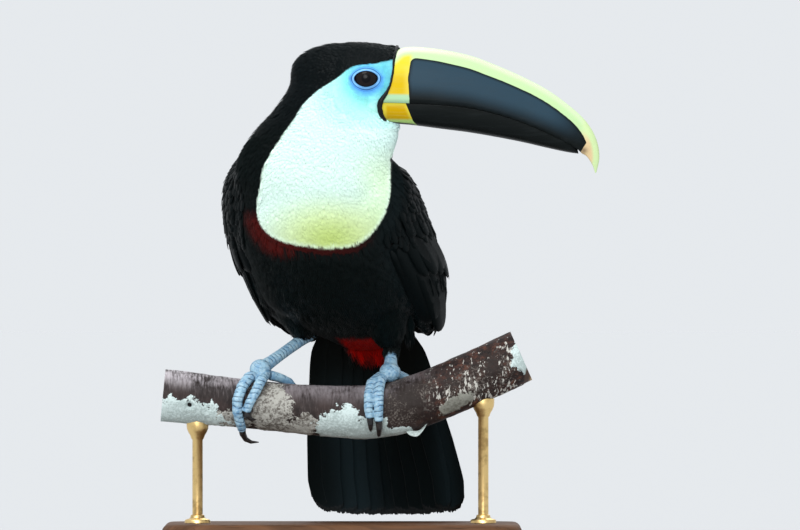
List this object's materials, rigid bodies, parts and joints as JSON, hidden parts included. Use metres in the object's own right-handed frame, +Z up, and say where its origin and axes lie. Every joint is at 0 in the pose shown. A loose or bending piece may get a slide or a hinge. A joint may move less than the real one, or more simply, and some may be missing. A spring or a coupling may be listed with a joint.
{
  "type": "toucan model on perch",
  "caption": "Life-size still model of a toucan gripping a short cut branch, its head turned to its left, on a flat stand with thin rods.",
  "frame": {"origin": "on the flat underside of the stand's base, straight below the branch between the feet", "axes": "+Z up, +X the way the bill points and along the branch, -Y the way the breast faces, with the tail towards +Y"},
  "size_m": [0.255, 0.2032, 0.2958],
  "materials": {
    "plumage": "soft black feathers with a faint blue sheen, a white to lemon bib, a dark red breast line and red under the tail",
    "bill": "satin horn, black with a pale yellow-green ridge and a golden base",
    "leg": "scaly blue-grey skin",
    "claw": "dark horn",
    "eye": "wet dark brown",
    "bark": "brown bark with pale crusts of lichen, clean sawn ends",
    "base": "dark oiled hardwood",
    "rod": "brushed, lightly aged"
  },
  "bodies": {
    "root": {"bill_lower": "bill", "bill_upper": "bill", "claw_left_inner_front": "claw", "claw_left_inner_hind": "claw", "claw_left_outer_front": "claw", "claw_left_outer_hind": "claw", "claw_right_inner_front": "claw", "claw_right_inner_hind": "claw", "claw_right_outer_front": "claw", "claw_right_outer_hind": "claw", "eye_left": "eye", "eye_right": "eye", "head": "plumage", "leg_left_foot": "leg", "leg_left_shank": "leg", "leg_left_thigh": "plumage", "leg_right_foot": "leg", "leg_right_shank": "leg", "leg_right_thigh": "plumage", "neck": "plumage", "perch_branch": "bark", "stand_base": "base", "stand_rod_left_hand": "rod", "stand_rod_right_hand": "rod", "tail": "plumage", "toe_left_inner_front": "leg", "toe_left_inner_hind": "leg", "toe_left_outer_front": "leg", "toe_left_outer_hind": "leg", "toe_right_inner_front": "leg", "toe_right_inner_hind": "leg", "toe_right_outer_front": "leg", "toe_right_outer_hind": "leg", "trunk": "plumage", "wing_left": "plumage", "wing_right": "plumage"}
  },
  "joints": []
}
